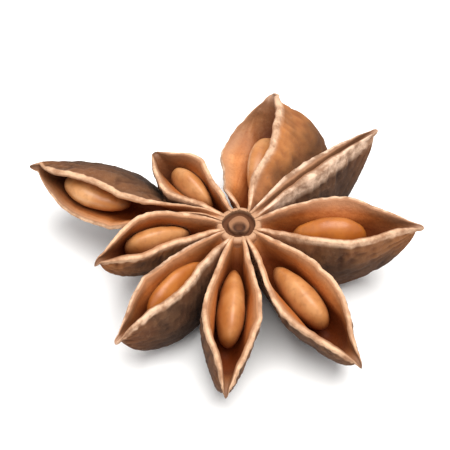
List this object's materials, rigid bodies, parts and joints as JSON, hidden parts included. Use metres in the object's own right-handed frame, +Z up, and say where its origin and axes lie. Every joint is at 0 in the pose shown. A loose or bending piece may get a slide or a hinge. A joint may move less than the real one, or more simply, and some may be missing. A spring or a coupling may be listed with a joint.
{
  "type": "star anise pod",
  "caption": "Dried star anise pod: a woody star of boat-shaped carpels, split open along the top, with glossy seeds inside.",
  "frame": {"origin": "centre of the hub's flat underside, on the surface that the pod rests on", "axes": "+Z up, out of the split side; +X to the right and +Y to the back as the pod is seen in the picture"},
  "size_m": [0.036, 0.0326, 0.0101],
  "materials": {
    "husk": "dry, matte, wrinkled husk with pale split edges and a smooth satin inside",
    "seed": "smooth, glossy caramel-brown seed coat"
  },
  "bodies": {
    "root": {"husk": "husk", "seed_right": "seed", "seed_back": "seed", "seed_back_left": "seed", "seed_left_back": "seed", "seed_left": "seed", "seed_front_left": "seed", "seed_front": "seed", "seed_front_right": "seed"}
  },
  "joints": []
}
